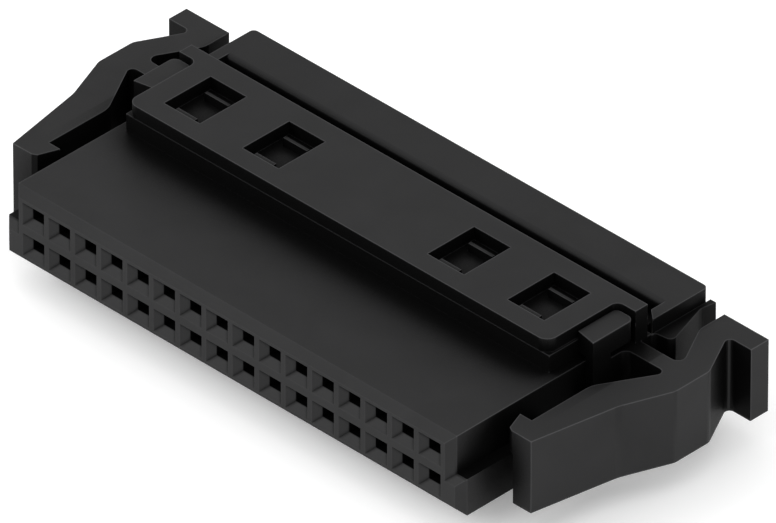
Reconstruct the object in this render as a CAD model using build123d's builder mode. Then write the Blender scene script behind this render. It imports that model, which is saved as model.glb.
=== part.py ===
"""Ribbon cable connector: a two-row insulation-displacement socket with two latch arms.

Millimetres. The origin is the centre of the mating face. +X runs along the rows of contacts,
+Y from the mating face to the cable side, and +Z up, away from the keyed lower half.
"""
import os

from build123d import *

# Contact grid
pitch = 1.27
columns = 16
rows = {"a": 1, "b": -1}

# Contact holes in the mating face
hole_width = 0.54
hole_height = 0.42
funnel_depth = 0.26
funnel_angle = 45
front_wall = 1.0

# Housing
block_end_margin = 1.01
block_height = 3.05
face_chamfer = 0.30
key_step = 0.485
key_height = 1.50
key_depth = 4.60
pedestal_inset = 0.375
pedestal_front = 5.10
pedestal_rise = 0.70
housing_depth = 8.40

# Guide posts of the housing
post_step = 1.23
post_setback = 0.08
post_width = 0.87
post_front_slant = 0.15
post_rise = 0.35
post_corner = 0.28
pillar_depth = 0.87
shelf_gap = 0.215

# Snap catches of the housing
catch_width = 1.14
catch_step = 1.61
catch_land = 0.13
catch_rise = 0.30
catch_draft = 0.05

# Latch frame: plates, windows and cross wall
plate_thickness = 0.55
plate_overhang = 0.02
plate_corner = 0.43
plate_side_gap = 0.07
window_width = 1.74
window_length = 2.25
window_rear_gap = 0.30
window_steps = (3.5, 6.5)
lip_width = 0.94
lip_length = 0.29
lip_sink = 0.145
wall_gap = 0.06
notch_corner = 0.30
wall_thickness = 0.59
wall_overhang = 0.415
moulding_clearance = 0.03

# Latch frame: side rails and flexing webs
side_height = 2.97
rail_front_gap = 0.05
web_step = 0.46
web_thickness = 0.69
web_root_radius = 0.28
slit_radius = 0.12

# Cheeks of the latch frame, in plan
cheek_gap = 0.03
cheek_root_gap = 0.07
cheek_root_reach = 0.35
cheek_root_radius = 0.20
cheek_front_step = 0.31
cheek_swell_step = 0.41
cheek_swell_reach = 0.79
cheek_swell_radius = 0.22
cheek_waist_reach = 0.14
cheek_waist_step = 0.63
cheek_waist_radius = 0.6
cheek_rear_reach = 0.26
cheek_overrun = 0.08

# Latch arms, in plan
arm_clearance = 0.58
arm_front = 1.90
arm_tip_width = 0.85
hook_nose = 0.25
hook_corner_width = 0.19
hook_corner_length = 0.10
hook_reach = 0.55
hook_length = 0.90
hook_height = 0.94
bend_step = 2.34
bend_radius = 1.0
elbow_reach = 1.32
elbow_draft = 0.01
elbow_front_radius = 0.21
elbow_rear_radius = 0.28
flank_step = 2.55
flank_reach = 1.50
flank_radius = 1.8
back_reach = 2.26
back_front_step = 0.58
back_rear_step = 0.39
back_radius = 0.5

# Finger grips of the arms, in plan
neck_reach = 0.30
neck_length = 1.20
neck_radius = 0.8
grip_length = 2.09
grip_thickness = 0.86
grip_setback = 0.22
grip_root_reach = 0.97
grip_root_radius = 0.20

# Cable cover
cable_thickness = 0.65
cover_half_height = 1.985
slot_width = 1.15
cover_thickness = 1.835
cover_overhang = 0.385
cover_corner = 0.20
cover_lip = 0.26
lug_thickness = 0.45
lug_gap = 0.28
lug_bevel = 0.38
ledge_half_height = 1.30
ledge_end_gap = 0.12
groove_sink = 0.09
ridge_reach = 0.08
ridge_setback = 1.13
ridge_length = 0.40
ridge_half_height = 0.80

# Contacts
stock = 0.20
contact_width = 0.76
beam_width = 0.17
beam_tip = 1.15
beam_root = 4.60
bump_y = 1.75
bump_rise = 0.06
bump_length = 0.70
barb_front = 5.20
barb_length = 0.12
shoulder_rear = 6.20
shank_width = 0.36
fork_root_step = 1.06
fork_width = 0.70
fork_slot = 0.14
fork_slot_depth = 1.05
fork_bite = 0.38
fork_taper = 0.36
fork_mouth = 0.34
fork_clearance = 0.03
pocket_end_gap = 0.10
cavity_side_gap = 0.02
beam_room = 0.10
cavity_height = 0.42
bay_front_gap = 0.06

# Places worked out from the sizes above
conductor_pitch = pitch / 2
conductor_radius = cable_thickness / 2
fork_shift = conductor_pitch / 2
column_places = [(column - (columns - 1) / 2) * pitch for column in range(columns)]
conductor_places = [x + row * fork_shift for x in column_places for row in rows.values()]
fork_places = [(x + row * fork_shift, row * pitch / 2) for x in column_places for row in rows.values()]
hole_places = [(x, row * pitch / 2) for x in column_places for row in rows.values()]
half_block = block_height / 2
block_half_length = column_places[-1] + block_end_margin
key_half_length = block_half_length + key_step
key_top = key_height - half_block
pedestal_half_length = block_half_length - pedestal_inset
pedestal_top = half_block + pedestal_rise
post_top = pedestal_top + post_rise
post_outer = pedestal_half_length + post_width
post_front = pedestal_front + post_step
post_rear = housing_depth - post_setback
shelf_bottom = half_block + shelf_gap
pillar_rear = post_front + pillar_depth
plate_top = pedestal_top + plate_thickness
plate_half_length = pedestal_half_length - plate_side_gap
plate_front = pedestal_front - plate_overhang
notch_rear = housing_depth + wall_gap
wall_rear = notch_rear + wall_thickness
wall_half_length = block_half_length + wall_overhang
window_rear = notch_rear - window_rear_gap
window_front = window_rear - window_length
window_places = [side * step * pitch for side in (1, -1) for step in window_steps]
catch_front = window_front + catch_step
side_bottom = -half_block
side_top = side_bottom + side_height
rail_inner = block_half_length + moulding_clearance
rail_front = pillar_rear + rail_front_gap
web_front = notch_rear - web_step
web_rear = web_front + web_thickness
cover_half_length = block_half_length + cover_overhang
cover_front = wall_rear + slot_width
cover_rear = cover_front + cover_thickness
lug_front = wall_rear + lug_gap
lug_inner = cover_half_length - lug_thickness
ledge_front = wall_rear + cable_thickness
ledge_half_length = lug_inner - ledge_end_gap
ridge_y = cover_rear - ridge_setback
cheek_inner = cover_half_length + cheek_gap
cheek_root_rear = lug_front - cheek_root_gap
cheek_root_inner = cheek_inner - cheek_root_reach
cheek_rear = cover_rear + cheek_overrun
arm_inner_x = key_half_length + arm_clearance
elbow_x = arm_inner_x + elbow_reach
back_x = arm_inner_x + back_reach
neck_x = arm_inner_x + neck_reach
grip_outer_x = neck_x + grip_length
grip_rear = cover_rear - grip_setback
grip_front = grip_rear - grip_thickness
cavity_half_width = contact_width / 2 + cavity_side_gap
bay_front = shoulder_rear + bay_front_gap
fork_root = notch_rear - fork_root_step
fork_tip = ledge_front + fork_bite

os.makedirs("parts", exist_ok=True)

# Housing: the block, its wider lower half and the raised rear part
with BuildPart() as housing:
    with BuildSketch(Plane.XZ):
        with BuildLine():
            Polyline(
                (-key_half_length, -half_block),
                (key_half_length, -half_block),
                (key_half_length, key_top),
                (block_half_length, key_top),
                (block_half_length, half_block),
                (-block_half_length, half_block),
                (-block_half_length, key_top),
                (-key_half_length, key_top),
                close=True,
            )
        make_face()
    extrude(amount=-key_depth)
    with BuildSketch(Plane.XZ.offset(-key_depth)):
        Rectangle(2 * block_half_length, block_height)
    extrude(amount=key_depth - housing_depth)
    mating_edges = housing.faces().sort_by(Axis.Y)[0].outer_wire().edges()
    chamfer(mating_edges, length=face_chamfer)
    with BuildSketch(Plane.XZ.offset(-pedestal_front)):
        Rectangle(2 * pedestal_half_length, 2 * pedestal_top)
    extrude(amount=pedestal_front - housing_depth)

    # Guide posts: a full-height pillar, with a shelf behind it over the frame's side rail
    for side in (1, -1):
        with BuildSketch(Plane.XY.offset(-post_top)):
            with BuildLine():
                Polyline(
                    (side * block_half_length, post_front + post_front_slant),
                    (side * post_outer, post_front),
                    (side * post_outer, pillar_rear),
                    (side * block_half_length, pillar_rear),
                    close=True,
                )
            make_face()
        extrude(amount=2 * post_top)
        for level in (-post_top, shelf_bottom):
            with BuildSketch(Plane.XY.offset(level)) as shelf_plan:
                with BuildLine():
                    Polyline(
                        (side * pedestal_half_length, post_front + post_front_slant),
                        (side * post_outer, post_front),
                        (side * post_outer, post_rear),
                        (side * pedestal_half_length, post_rear),
                        close=True,
                    )
                make_face()
                fillet(
                    shelf_plan.vertices().group_by(Axis.Y)[-1],
                    radius=post_corner,
                )
            extrude(amount=post_top - shelf_bottom)

    # Snap catches, one in each window of the frame's plates
    for middle in window_places:
        for face in (1, -1):
            with BuildSketch(Plane.YZ.offset(middle - catch_width / 2)):
                with BuildLine():
                    Polyline(
                        (catch_front, face * pedestal_top),
                        (catch_front + catch_draft, face * (pedestal_top + catch_rise)),
                        (catch_front + catch_draft + catch_land, face * (pedestal_top + catch_rise)),
                        (window_rear, face * pedestal_top),
                        close=True,
                    )
                make_face()
            extrude(amount=catch_width)

    # Contact holes with their funnels, and the cavities behind them, wider where the beams spread
    with BuildSketch(Plane.XZ):
        with Locations(*hole_places):
            Rectangle(hole_width, hole_height)
    extrude(amount=-front_wall, mode=Mode.SUBTRACT)
    with BuildSketch(Plane.XZ):
        with Locations(*hole_places):
            Rectangle(hole_width + 2 * funnel_depth, hole_height + 2 * funnel_depth)
    extrude(amount=-funnel_depth, taper=funnel_angle, mode=Mode.SUBTRACT)
    with BuildSketch(Plane.XZ.offset(-front_wall)):
        with Locations(*hole_places):
            Rectangle(2 * cavity_half_width, cavity_height)
    extrude(amount=front_wall - housing_depth, mode=Mode.SUBTRACT)
    with BuildSketch(Plane.XZ.offset(-front_wall)):
        with Locations(*hole_places):
            Rectangle(contact_width + 2 * beam_room, cavity_height)
    extrude(amount=front_wall - beam_root, mode=Mode.SUBTRACT)
    for row in rows.values():
        with BuildSketch(Plane.XZ.offset(-bay_front)):
            with Locations(*[(x + row * fork_shift / 2, row * pitch / 2) for x in column_places]):
                Rectangle(2 * cavity_half_width + fork_shift, cavity_height)
        extrude(amount=bay_front - housing_depth, mode=Mode.SUBTRACT)
housing.part.label = "housing"
export_step(housing.part, "parts/housing.step")


# Latch frame: plates with windows and the cross wall between them
with BuildPart() as latch_frame:
    for level in (pedestal_top, -plate_top):
        with BuildSketch(Plane.XY.offset(level)) as plate_plan:
            with BuildLine():
                Polyline(
                    (-plate_half_length, plate_front),
                    (plate_half_length, plate_front),
                    (plate_half_length, notch_rear),
                    (wall_half_length, notch_rear),
                    (wall_half_length, wall_rear),
                    (-wall_half_length, wall_rear),
                    (-wall_half_length, notch_rear),
                    (-plate_half_length, notch_rear),
                    close=True,
                )
            make_face()
            fillet(plate_plan.vertices().group_by(Axis.Y)[0], radius=plate_corner)
            for side in (1, -1):
                notch = plate_plan.vertices().sort_by_distance((side * plate_half_length, notch_rear))
                fillet(notch[0], radius=notch_corner)
            with Locations(*[(x, window_front + window_length / 2) for x in window_places]):
                Rectangle(window_width, window_length, mode=Mode.SUBTRACT)
        extrude(amount=plate_thickness)
    with BuildSketch(Plane.XZ.offset(-notch_rear)):
        Rectangle(2 * wall_half_length, 2 * plate_top)
    extrude(amount=-wall_thickness)

    # Thinner lip at the front of each window, which bears on the housing's catch
    for level in (pedestal_top, lip_sink - plate_top):
        with BuildSketch(Plane.XY.offset(level)):
            with Locations(*[(x, window_front + lip_length / 2) for x in window_places]):
                Rectangle(lip_width, lip_length)
        extrude(amount=plate_thickness - lip_sink)

    # One side: rail, flexing web, cheek and latch arm, all of one height
    with BuildSketch(Plane.XY.offset(side_bottom)) as side_plan:
        with BuildLine():
            Polyline(
                (rail_inner, rail_front),
                (wall_half_length, rail_front),
                (wall_half_length, wall_rear),
                (rail_inner, wall_rear),
                close=True,
            )
        make_face()
        with BuildLine():
            Polyline(
                (rail_inner, web_front),
                (elbow_x, web_front),
                (elbow_x + elbow_draft, web_rear),
                (rail_inner, web_rear),
                close=True,
            )
        make_face()
        with BuildLine():
            inner = FilletPolyline(
                (arm_inner_x, arm_front),
                (arm_inner_x, web_front - bend_step),
                (elbow_x, web_front),
                radius=bend_radius,
            )
            Line(inner @ 1, (elbow_x + elbow_draft, web_rear))
            neck = FilletPolyline(
                (elbow_x + elbow_draft, web_rear),
                (neck_x, grip_rear - neck_length),
                (neck_x, grip_rear),
                radius=neck_radius,
            )
            grip = Polyline(neck @ 1, (grip_outer_x, grip_rear), (grip_outer_x, grip_front))
            outer = FilletPolyline(
                grip @ 1,
                (neck_x + grip_root_reach, grip_front),
                (back_x, web_rear + back_rear_step),
                (back_x, web_front - back_front_step),
                (arm_inner_x + flank_reach, web_front - flank_step),
                (arm_inner_x + arm_tip_width, arm_front),
                radius=[grip_root_radius, back_radius, back_radius, flank_radius],
            )
            Line(outer @ 1, inner @ 0)
        make_face()
        with BuildLine():
            cheek = FilletPolyline(
                (wall_half_length, wall_rear),
                (wall_half_length, wall_rear + cheek_front_step),
                (cheek_inner + cheek_swell_reach, wall_rear + cheek_swell_step),
                (cheek_inner + cheek_waist_reach, cheek_rear - cheek_waist_step),
                (cheek_inner + cheek_rear_reach, cheek_rear),
                radius=[cheek_root_radius, cheek_swell_radius, cheek_waist_radius],
            )
            Polyline(
                cheek @ 1,
                (cheek_inner, cheek_rear),
                (cheek_inner, cheek_root_rear),
                (cheek_root_inner, cheek_root_rear),
                (cheek_root_inner, wall_rear),
                cheek @ 0,
            )
        make_face()
        for place, radius in (
            ((wall_half_length, web_front), web_root_radius),
            ((wall_half_length, web_rear), slit_radius),
            ((elbow_x, web_front), elbow_front_radius),
            ((elbow_x + elbow_draft, web_rear), elbow_rear_radius),
        ):
            fillet(side_plan.vertices().sort_by_distance(place)[0], radius=radius)
    side_form = extrude(amount=side_height)
    with BuildSketch(Plane.XY.offset(side_top - hook_height)):
        with BuildLine():
            Polyline(
                (arm_inner_x, arm_front),
                (arm_inner_x - hook_nose + hook_corner_width, arm_front),
                (arm_inner_x - hook_nose, arm_front + hook_corner_length),
                (arm_inner_x - hook_reach, arm_front + hook_length),
                (arm_inner_x, arm_front + hook_length),
                close=True,
            )
        make_face()
    hook = extrude(amount=hook_height)
    mirror([side_form, hook], about=Plane.YZ)

    # Passages for the contact forks, and a pocket in each cheek for the cover's snap ridge
    with BuildSketch(Plane.XZ.offset(-notch_rear)):
        with Locations(*fork_places):
            Rectangle(fork_width + 2 * fork_clearance, stock + 2 * fork_clearance)
    extrude(amount=-wall_thickness, mode=Mode.SUBTRACT)
    for side in (1, -1):
        with BuildSketch(Plane.XY.offset(-ridge_half_height - moulding_clearance)):
            with Locations((side * cheek_inner, ridge_y)):
                Rectangle(2 * (ridge_reach + moulding_clearance), ridge_length + 2 * moulding_clearance)
        extrude(amount=2 * (ridge_half_height + moulding_clearance), mode=Mode.SUBTRACT)
latch_frame.part.label = "latch_frame"
export_step(latch_frame.part, "parts/latch_frame.step")

# Cable cover: the bar, its end lugs and the grooved ledge that presses the cable
with BuildPart() as cable_cover:
    with BuildSketch(Plane.XY.offset(-cover_half_height)) as cover_plan:
        with BuildLine():
            Polyline(
                (-cover_half_length, lug_front),
                (-lug_inner, lug_front + lug_bevel),
                (-lug_inner, cover_front),
                (lug_inner, cover_front),
                (lug_inner, lug_front + lug_bevel),
                (cover_half_length, lug_front),
                (cover_half_length, cover_rear),
                (-cover_half_length, cover_rear),
                close=True,
            )
        make_face()
        fillet(cover_plan.vertices().group_by(Axis.Y)[-1], radius=cover_corner)
    extrude(amount=2 * cover_half_height)
    lips = (
        cable_cover.edges()
        .filter_by(Axis.X)
        .filter_by(lambda edge: abs(edge.center().Y - cover_front) < moulding_clearance)
    )
    fillet(lips, radius=cover_lip)
    with BuildSketch(Plane.XY.offset(-ledge_half_height)):
        with BuildLine():
            Polyline(
                (-ledge_half_length, ledge_front),
                (ledge_half_length, ledge_front),
                (ledge_half_length, cover_front),
                (-ledge_half_length, cover_front),
                close=True,
            )
        make_face()
        with Locations(*[(x, ledge_front - conductor_radius + groove_sink) for x in conductor_places]):
            Circle(conductor_radius, mode=Mode.SUBTRACT)
    extrude(amount=2 * ledge_half_height)
    with BuildSketch(Plane.XZ.offset(-ledge_front)):
        with Locations(*fork_places):
            Rectangle(fork_width + 2 * fork_clearance, stock + 2 * fork_clearance)
    extrude(amount=ledge_front - fork_tip - pocket_end_gap, mode=Mode.SUBTRACT)
    for side in (1, -1):
        with BuildSketch(Plane.XY.offset(-ridge_half_height)):
            with BuildLine():
                Polyline(
                    (side * cover_half_length, ridge_y - ridge_length / 2),
                    (side * (cheek_inner + ridge_reach), ridge_y + ridge_length / 4),
                    (side * (cheek_inner + ridge_reach), ridge_y + ridge_length / 2),
                    (side * cover_half_length, ridge_y + ridge_length / 2),
                    close=True,
                )
            make_face()
        extrude(amount=2 * ridge_half_height)
cable_cover.part.label = "cable_cover"
export_step(cable_cover.part, "parts/cable_cover.step")


def stamped_contact(row):
    """Flat contact of one row, standing at column zero: spring beams, shank and IDC fork."""
    shift = row * fork_shift
    half = contact_width / 2
    with BuildPart() as contact:
        with BuildSketch(Plane.XY.offset(row * pitch / 2 - stock / 2)):
            with BuildLine():
                Polyline(
                    (-half, beam_root),
                    (half, beam_root),
                    (half, shoulder_rear),
                    (shift + shank_width / 2, fork_root),
                    (shift - shank_width / 2, fork_root),
                    (-half, shoulder_rear),
                    close=True,
                )
            make_face()
            with BuildLine():
                Polyline(
                    (shift - fork_width / 2, fork_root),
                    (shift + fork_width / 2, fork_root),
                    (shift + fork_width / 2, fork_tip - fork_taper),
                    (shift + fork_mouth / 2, fork_tip),
                    (shift + fork_slot / 2, fork_tip - fork_mouth),
                    (shift + fork_slot / 2, fork_tip - fork_slot_depth),
                    (shift - fork_slot / 2, fork_tip - fork_slot_depth),
                    (shift - fork_slot / 2, fork_tip - fork_mouth),
                    (shift - fork_mouth / 2, fork_tip),
                    (shift - fork_width / 2, fork_tip - fork_taper),
                    close=True,
                )
            make_face()
            for side in (1, -1):
                with BuildLine():
                    Polyline(
                        (side * half, beam_root),
                        (side * half, beam_tip),
                        (side * (half - beam_width), beam_tip),
                        (side * (half - beam_width - bump_rise), bump_y),
                        (side * (half - beam_width), bump_y + bump_length),
                        (side * (half - beam_width), beam_root),
                        close=True,
                    )
                make_face()
                with BuildLine():
                    Polyline(
                        (side * half, barb_front),
                        (side * cavity_half_width, barb_front + barb_length),
                        (side * half, barb_front + barb_length),
                        close=True,
                    )
                make_face()
        extrude(amount=stock)
    return contact.part


for row_name, row in rows.items():
    pattern = stamped_contact(row)
    for number, x in enumerate(column_places, start=1):
        contact_name = f"contact_{row_name}{number:02d}"
        placed = pattern.moved(Location((x, 0, 0)))
        placed.label = contact_name
        export_step(placed, f"parts/{contact_name}.step")
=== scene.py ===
"""Ribbon cable connector: matte black mouldings with tin-plated contacts, on a pale floor.

Metres throughout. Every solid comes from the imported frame; this script gives them their
rounded edges and finishes, and makes the floor, the light and the camera.
"""
import math

import bpy
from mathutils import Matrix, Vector


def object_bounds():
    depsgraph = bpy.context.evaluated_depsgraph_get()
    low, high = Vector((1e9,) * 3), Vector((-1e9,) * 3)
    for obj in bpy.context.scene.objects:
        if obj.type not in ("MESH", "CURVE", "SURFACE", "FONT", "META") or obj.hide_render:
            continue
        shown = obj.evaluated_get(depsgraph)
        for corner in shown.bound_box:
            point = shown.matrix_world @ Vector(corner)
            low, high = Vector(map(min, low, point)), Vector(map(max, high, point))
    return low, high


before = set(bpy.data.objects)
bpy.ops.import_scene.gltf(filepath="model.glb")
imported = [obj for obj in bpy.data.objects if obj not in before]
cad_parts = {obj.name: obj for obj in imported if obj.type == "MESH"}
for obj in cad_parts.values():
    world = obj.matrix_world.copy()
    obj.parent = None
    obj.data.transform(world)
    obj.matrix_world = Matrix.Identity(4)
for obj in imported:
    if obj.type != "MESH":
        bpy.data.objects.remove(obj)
cad_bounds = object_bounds()

MM = 0.001

# Photograph: an orthographic view, so the camera stands far off with a long lens, and its
# angles and scale share out the little perspective that is left
PHOTO_WIDTH = 776
PIXELS_PER_METRE = 29310.0
AZIMUTH = math.radians(44.81)
ELEVATION = math.radians(35.23)
AIM = Vector((0.177, 7.426, 0.0)) * MM
SENSOR = 36.0
LENS = 1100.0
CLIP_START = 0.05
CLIP_END = 10.0

# Rounded edges of the mouldings
EDGE_RADIUS = 0.045 * MM
EDGE_SEGMENTS = 2
EDGE_ANGLE = math.radians(28)
WELD_DISTANCE = 0.001 * MM

# Moulded plastic: spark-eroded grain, uneven gloss and broad flow marks; the seeds shift the
# patterns from one moulding to the next
BLACK = (0.0209, 0.0209, 0.0213)
FRAME_TONE = 0.96
COVER_TONE = 0.89
HOUSING_SEED = 1.0
FRAME_SEED = 2.0
COVER_SEED = 3.0
PLASTIC_IOR = 1.5
PLASTIC_SPECULAR = 0.08
PLASTIC_ROUGHNESS = 0.52
ROUGHNESS_SPREAD = 0.055
GRAIN_SCALE = 26000.0
GRAIN_DETAIL = 4.0
GRAIN_STRENGTH = 0.22
GRAIN_DEPTH = 0.004 * MM
FLOW_SCALE = 420.0
FLOW_DETAIL = 3.0
FLOW_DISTORTION = 0.6
FLOW_CONTRAST = 0.08
NOISE_BAND = (0.30, 0.72)
OCCLUSION_SAMPLES = 12

# From here to the metal, a pair is where a soft border starts and where it ends. A place is a
# distance from the middle along X, a rise is a distance from the middle along Z, and both
# hold for the left and right, and the upper and lower, half alike.

# Recesses: painted shade where little open space lies within reach of a surface. The share of
# open space from which a surface is painted dark, and from which it is plain, differs by moulding
RECESS_REACH = 3.4 * MM
RECESS_SHADE = 0.05
HOUSING_BAND = (0.76, 0.965)
FRAME_BAND = (0.80, 0.98)
COVER_BAND = (0.52, 0.67)

# Regions with a band of their own: the tops of the guide posts, the top and bottom faces of
# the latch arms, and the end lugs of the cover at any height
OPEN_BAND = (0.52, 0.80)
POST_PLACE = (10.17 * MM, 10.20 * MM)
POST_RISE = (2.52 * MM, 2.55 * MM)
ARM_PLACE = (12.0 * MM, 12.1 * MM)
ARM_RISE = (1.42 * MM, 1.44 * MM)
LUG_PLACE = (10.88 * MM, 10.91 * MM)
LUG_RISE = (-1.0, 0.0)
LUG_BAND = (0.80, 0.98)

# Lead-ins of the contact holes: no painted recess shade down to this depth, a painted highlight
# on their slopes, and painted shade in the creases where the slopes meet
LEAD_IN_DEPTH = (0.24 * MM, 0.28 * MM)
LEAD_IN_BAND = (0.95, 0.70)
LEAD_IN_HIGHLIGHT_TONE = 1.56
CREASE_REACH = 0.16 * MM
CREASE_BAND = (0.78, 0.96)
CREASE_SHADE_DEPTH = 0.75

# Finger grips: painted shade in the gap in front of each, with a painted highlight line in its
# inner corner. Across, along and corner are the two ends of a stretch, along X, Y and Y
GRIP_ACROSS = (12.95 * MM, 13.92 * MM)
GRIP_ALONG = (9.22 * MM, 11.0 * MM)
GRIP_CORNER = (10.845 * MM, 10.895 * MM)
GRIP_RISE = (1.42 * MM, 1.44 * MM)
GRIP_SOFTNESS = 0.02 * MM
GRIP_SHADE = 0.85

# Painted edge highlights: lighter lines painted on every edge that is exposed enough, and fainter
# ones in recesses at the named heights, as far out from the middle as their reach
EDGE_HIGHLIGHT_COLOUR = (0.060, 0.060, 0.062)
HIGHLIGHT_REACH = 0.05 * MM
HIGHLIGHT_BAND = (0.95, 0.55)
HIGHLIGHT_EXPOSURE = (0.40, 0.95)
HIGHLIGHT_IN_RECESS = 0.40
HIGHLIGHT_HEIGHT = (0.05 * MM, 0.07 * MM)
HOUSING_EDGES = (1.525 * MM, 2.225 * MM)
FRAME_EDGES = (1.445 * MM, 2.225 * MM, 2.775 * MM)
COVER_EDGES = (1.985 * MM,)
HOUSING_EDGE_REACH = (10.60 * MM, 10.65 * MM)
FULL_EDGE_REACH = (14.0 * MM, 14.1 * MM)

# Plated metal: rolling lines along the contacts
METAL_LOW = (0.50, 0.48, 0.44, 1)
METAL_HIGH = (0.66, 0.64, 0.60, 1)
METAL_ROUGHNESS = (0.24, 0.42)
LINE_SCALE = 30000.0
LINE_STRETCH = (1.0, 0.08, 1.0)

# Floor, which glows a little so that the shadow on it stays light, and lights
FLOOR_SIZE = 1.2
FLOOR_COLOUR = (0.96, 0.96, 0.96, 1)
FLOOR_ROUGHNESS = 0.9
FLOOR_SPECULAR = 0.1
FLOOR_GLOW = 0.2
SKY_COLOUR = (1.0, 1.0, 1.0, 1)
SKY_STRENGTH = 1.0
KEY_PLACE = Vector((-0.22, -0.22, 0.22))
KEY_SIZE = 0.14
KEY_POWER = 0.50
FILL_PLACE = Vector((0.36, -0.06, 0.12))
FILL_SIZE = 0.20
FILL_POWER = 0.25


def node_of(tree, kind, inputs=None, **attributes):
    """A new shader node; each of its inputs is given a value or linked to a socket."""
    made = tree.nodes.new(kind)
    for name, value in attributes.items():
        setattr(made, name, value)
    for name, value in (inputs or {}).items():
        if isinstance(value, bpy.types.NodeSocket):
            tree.links.new(value, made.inputs[name])
        else:
            made.inputs[name].default_value = value
    return made


def empty_material(name):
    """A node material that holds only its output."""
    material = bpy.data.materials.new(name)
    material.use_nodes = True
    material.node_tree.nodes.clear()
    return material, material.node_tree, node_of(material.node_tree, "ShaderNodeOutputMaterial")


def band(tree, source, low, high, start, end, interpolation="LINEAR"):
    """Maps the part of a value between low and high to a value from start to end."""
    made = node_of(tree, "ShaderNodeMapRange", {
        "Value": source, "From Min": low, "From Max": high, "To Min": start, "To Max": end,
    }, interpolation_type=interpolation)
    return made.outputs["Result"]


def combine(tree, operation, first, second=0):
    """A sum, product or the like of two values, each a number or a socket."""
    made = node_of(tree, "ShaderNodeMath", {0: first, 1: second}, operation=operation)
    return made.outputs["Value"]


def between(tree, value, low, high, soft):
    """1 where a value lies from low to high, 0 elsewhere, with soft ends."""
    rise = band(tree, value, low - soft, low, 0, 1)
    return combine(tree, "MULTIPLY", rise, band(tree, value, high, high + soft, 1, 0))


def blend(tree, factor, first, second):
    """Blends two colours by a factor; each colour is a value or a socket."""
    # A mix node has a set of sockets for each data type: 0, 6 and 7 in and 2 out are the colour's
    made = node_of(tree, "ShaderNodeMix", {0: factor, 6: first, 7: second}, data_type="RGBA")
    return made.outputs[2]


def openness(tree, reach, inside=False):
    """The share of open space within reach of a surface, or of plastic behind it."""
    made = node_of(tree, "ShaderNodeAmbientOcclusion", {"Distance": reach},
                   samples=OCCLUSION_SAMPLES, inside=inside)
    return made.outputs["AO"]


def spot_of(tree, place):
    """A point's distance from the middle along X, its Y, and its distance along Z."""
    axes = node_of(tree, "ShaderNodeSeparateXYZ", {"Vector": place}).outputs
    return combine(tree, "ABSOLUTE", axes["X"]), axes["Y"], combine(tree, "ABSOLUTE", axes["Z"])


def shade_of(tone):
    """The plastic's black, made lighter or darker by a tone."""
    return (*[channel * tone for channel in BLACK], 1)


def lead_ins(tree, spot, sky, finish, exposed):
    """Keeps painted recess shade off the lead-ins of the contact holes, paints a highlight on
    their slopes and paints shade in their creases.
    """
    lead_in = band(tree, spot[1], *LEAD_IN_DEPTH, 1, 0)
    exposed = combine(tree, "MAXIMUM", exposed, lead_in)
    slope_highlight = combine(tree, "MULTIPLY", lead_in, band(tree, sky, *LEAD_IN_BAND, 0, 1))
    finish = blend(tree, slope_highlight, finish, shade_of(LEAD_IN_HIGHLIGHT_TONE))
    depth = band(tree, openness(tree, CREASE_REACH), *CREASE_BAND, CREASE_SHADE_DEPTH, 0)
    crease = combine(tree, "MULTIPLY", lead_in, depth)
    return blend(tree, crease, finish, shade_of(RECESS_SHADE)), exposed


def grip_gaps(tree, spot, exposed):
    """Paints shade in the gaps in front of the finger grips and a highlight line in their
    corners.
    """
    across, along, height = spot
    gap = combine(
        tree, "MULTIPLY", between(tree, across, *GRIP_ACROSS, GRIP_SOFTNESS),
        between(tree, along, *GRIP_ALONG, GRIP_SOFTNESS),
    )
    gap = combine(tree, "MULTIPLY", gap, band(tree, height, *GRIP_RISE, 1, 0))
    # painted highlight line along the inner corner of each grip
    corner = combine(tree, "MULTIPLY", gap, between(tree, along, *GRIP_CORNER, GRIP_SOFTNESS))
    exposed = combine(tree, "MULTIPLY", exposed, band(tree, gap, 0, 1, 1, 1 - GRIP_SHADE))
    return combine(tree, "MAXIMUM", exposed, corner)


def recess_shade(tree, spot, finish, recess, region, housing, grips):
    """Paints shade on a finish in recesses; gives the colour and how open each point is, 0 to 1.
    """
    sky = openness(tree, RECESS_REACH)
    place, rise, region_band = region
    inside = combine(
        tree, "MULTIPLY", band(tree, spot[0], *place, 0, 1), band(tree, spot[2], *rise, 0, 1),
    )
    limits = [band(tree, inside, 0, 1, *ends) for ends in zip(recess, region_band)]
    exposed = band(tree, sky, *limits, 0, 1, "SMOOTHSTEP")
    if housing:
        finish, exposed = lead_ins(tree, spot, sky, finish, exposed)
    if grips:
        exposed = grip_gaps(tree, spot, exposed)
    return blend(tree, exposed, shade_of(RECESS_SHADE), finish), exposed


def painted_edge_highlights(tree, spot, exposed, edges, edge_reach):
    """How far each point takes the painted edge highlight, 0 to 1."""
    highlit = 0
    for level in edges:
        away = combine(tree, "ABSOLUTE", combine(tree, "SUBTRACT", spot[2], level))
        highlit = combine(tree, "MAXIMUM", highlit, band(tree, away, *HIGHLIGHT_HEIGHT, HIGHLIGHT_IN_RECESS, 0))
    highlit = combine(tree, "MULTIPLY", highlit, band(tree, spot[0], *edge_reach, 1, 0))
    highlit = combine(tree, "MAXIMUM", highlit, band(tree, exposed, *HIGHLIGHT_EXPOSURE, 0, 1))
    edge = band(tree, openness(tree, HIGHLIGHT_REACH, inside=True), *HIGHLIGHT_BAND, 0, 1)
    return combine(tree, "MULTIPLY", edge, highlit)


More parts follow.
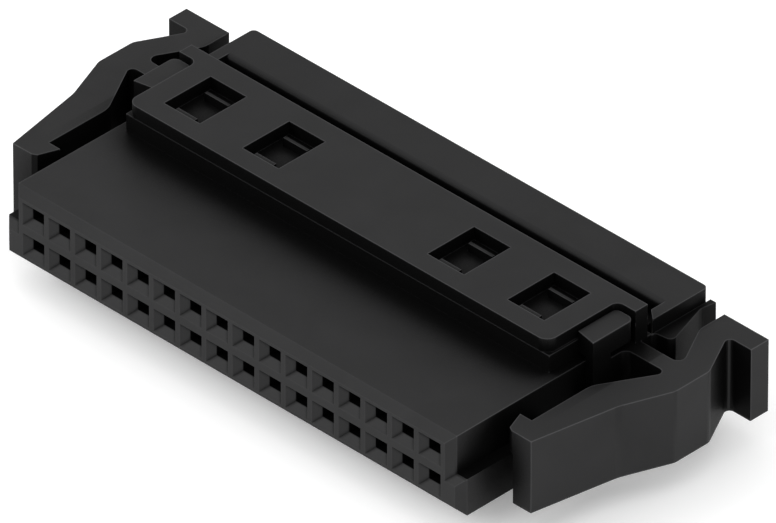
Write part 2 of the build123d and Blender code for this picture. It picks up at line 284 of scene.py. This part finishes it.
def moulded_plastic(name, seed, recess, region, edges, edge_reach=FULL_EDGE_REACH, tone=1.0,
                    housing=False, grips=False):
    """Black moulded plastic: grain and uneven gloss, flow marks, painted highlights on edges,
    painted shade in recesses.
    """
    material, tree, output = empty_material(name)
    link = tree.links.new
    shader = node_of(tree, "ShaderNodeBsdfPrincipled", {
        "IOR": PLASTIC_IOR, "Specular IOR Level": PLASTIC_SPECULAR,
    })
    link(shader.outputs["BSDF"], output.inputs["Surface"])
    place = node_of(tree, "ShaderNodeTexCoord").outputs["Object"]
    shift = node_of(tree, "ShaderNodeMapping", {
        "Vector": place, "Location": (seed, -seed, 2 * seed),
    }).outputs["Vector"]
    grain = node_of(tree, "ShaderNodeTexNoise", {
        "Vector": shift, "Scale": GRAIN_SCALE, "Detail": GRAIN_DETAIL,
    }).outputs["Fac"]
    flow = node_of(tree, "ShaderNodeTexNoise", {
        "Vector": shift, "Scale": FLOW_SCALE, "Detail": FLOW_DETAIL,
        "Distortion": FLOW_DISTORTION,
    }).outputs["Fac"]

    marks = blend(
        tree,
        band(tree, flow, *NOISE_BAND, 0, 1),
        shade_of(tone * (1 - FLOW_CONTRAST)),
        shade_of(tone * (1 + FLOW_CONTRAST)),
    )
    spot = spot_of(tree, place)
    # Painted shade in recesses, then painted highlights along the edges, both put into the base
    # colour
    shaded, exposed = recess_shade(tree, spot, marks, recess, region, housing, grips)
    edge_highlight = painted_edge_highlights(tree, spot, exposed, edges, edge_reach)
    link(blend(tree, edge_highlight, shaded, (*EDGE_HIGHLIGHT_COLOUR, 1)), shader.inputs["Base Color"])

    gloss = band(
        tree, grain, *NOISE_BAND,
        PLASTIC_ROUGHNESS - ROUGHNESS_SPREAD, PLASTIC_ROUGHNESS + ROUGHNESS_SPREAD,
    )
    link(gloss, shader.inputs["Roughness"])
    bump = node_of(tree, "ShaderNodeBump", {
        "Height": grain, "Strength": GRAIN_STRENGTH, "Distance": GRAIN_DEPTH,
    })
    link(bump.outputs["Normal"], shader.inputs["Normal"])
    return material


def plated_metal(name):
    """Tin plating over stamped copper alloy: warm grey metal with fine rolling lines."""
    material, tree, output = empty_material(name)
    link = tree.links.new
    shader = node_of(tree, "ShaderNodeBsdfPrincipled", {"Metallic": 1.0})
    link(shader.outputs["BSDF"], output.inputs["Surface"])
    place = node_of(tree, "ShaderNodeTexCoord").outputs["Object"]
    stretch = node_of(tree, "ShaderNodeMapping", {"Vector": place, "Scale": LINE_STRETCH})
    lines = node_of(tree, "ShaderNodeTexNoise", {
        "Vector": stretch.outputs["Vector"], "Scale": LINE_SCALE,
    }).outputs["Fac"]
    link(blend(tree, lines, METAL_LOW, METAL_HIGH), shader.inputs["Base Color"])
    link(band(tree, lines, 0, 1, *METAL_ROUGHNESS), shader.inputs["Roughness"])
    return material


def painted_floor(name):
    """Plain pale matt studio floor with a faint glow."""
    material, tree, output = empty_material(name)
    shader = node_of(tree, "ShaderNodeBsdfPrincipled", {
        "Base Color": FLOOR_COLOUR, "Roughness": FLOOR_ROUGHNESS,
        "Specular IOR Level": FLOOR_SPECULAR,
        "Emission Color": FLOOR_COLOUR, "Emission Strength": FLOOR_GLOW,
    })
    tree.links.new(shader.outputs["BSDF"], output.inputs["Surface"])
    return material


def dress(part, material):
    """Gives a CAD node its finish."""
    part.data.materials.clear()
    part.data.materials.append(material)


def round_edges(part):
    """Rounds a moulding's sharp edges by the small radius that its tool leaves."""
    weld = part.modifiers.new("weld", "WELD")
    weld.merge_threshold = WELD_DISTANCE
    bevel = part.modifiers.new("edge_radius", "BEVEL")
    bevel.width = EDGE_RADIUS
    bevel.segments = EDGE_SEGMENTS
    bevel.limit_method = "ANGLE"
    bevel.angle_limit = EDGE_ANGLE
    bevel.use_clamp_overlap = True
    bevel.harden_normals = True
    bevel.miter_outer = "MITER_ARC"


def area_light(name, place, aim, size, power):
    """A square soft box at place, in metres, facing aim."""
    lamp = bpy.data.lights.new(name, "AREA")
    lamp.shape = "SQUARE"
    lamp.size = size
    lamp.energy = power
    held = bpy.data.objects.new(name, lamp)
    held.location = place
    held.rotation_euler = (aim - place).to_track_quat("-Z", "Y").to_euler()
    bpy.context.scene.collection.objects.link(held)


# Finishes
plastics = {
    "housing": moulded_plastic(
        "housing_plastic", HOUSING_SEED, HOUSING_BAND, (POST_PLACE, POST_RISE, OPEN_BAND),
        HOUSING_EDGES, HOUSING_EDGE_REACH, housing=True),
    "latch_frame": moulded_plastic(
        "frame_plastic", FRAME_SEED, FRAME_BAND, (ARM_PLACE, ARM_RISE, OPEN_BAND),
        FRAME_EDGES, tone=FRAME_TONE, grips=True),
    "cable_cover": moulded_plastic(
        "cover_plastic", COVER_SEED, COVER_BAND, (LUG_PLACE, LUG_RISE, LUG_BAND),
        COVER_EDGES, tone=COVER_TONE),
}
metal = plated_metal("contact_metal")
for name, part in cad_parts.items():
    dress(part, plastics.get(name, metal))
    if name in plastics:
        round_edges(part)

# Floor under the part; it casts no shadow, which keeps it out of the measure of open space
low, _ = cad_bounds
bpy.ops.mesh.primitive_plane_add(size=FLOOR_SIZE, location=(0, 0, low[2]))
floor = bpy.context.object
floor.name = "floor"
floor.data.materials.append(painted_floor("floor_paint"))
floor.visible_shadow = False

# Light: an even white sky with two weak soft boxes
world = bpy.data.worlds.new("studio")
world.use_nodes = True
background = world.node_tree.nodes["Background"]
background.inputs["Color"].default_value = SKY_COLOUR
background.inputs["Strength"].default_value = SKY_STRENGTH
bpy.context.scene.world = world
area_light("key", KEY_PLACE, AIM, KEY_SIZE, KEY_POWER)
area_light("fill", FILL_PLACE, AIM, FILL_SIZE, FILL_POWER)

# Camera
back = Vector((
    math.sin(AZIMUTH) * math.cos(ELEVATION),
    -math.cos(AZIMUTH) * math.cos(ELEVATION),
    math.sin(ELEVATION),
))
distance = PHOTO_WIDTH / PIXELS_PER_METRE * LENS / SENSOR
lens = bpy.data.cameras.new("camera")
lens.lens = LENS
lens.sensor_width = SENSOR
lens.sensor_fit = "HORIZONTAL"
lens.clip_start = CLIP_START
lens.clip_end = CLIP_END
camera = bpy.data.objects.new("camera", lens)
camera.location = AIM + back * distance
camera.rotation_euler = (-back).to_track_quat("-Z", "Y").to_euler()
bpy.context.scene.collection.objects.link(camera)
bpy.context.scene.camera = camera
bpy.context.scene.view_settings.view_transform = "Standard"
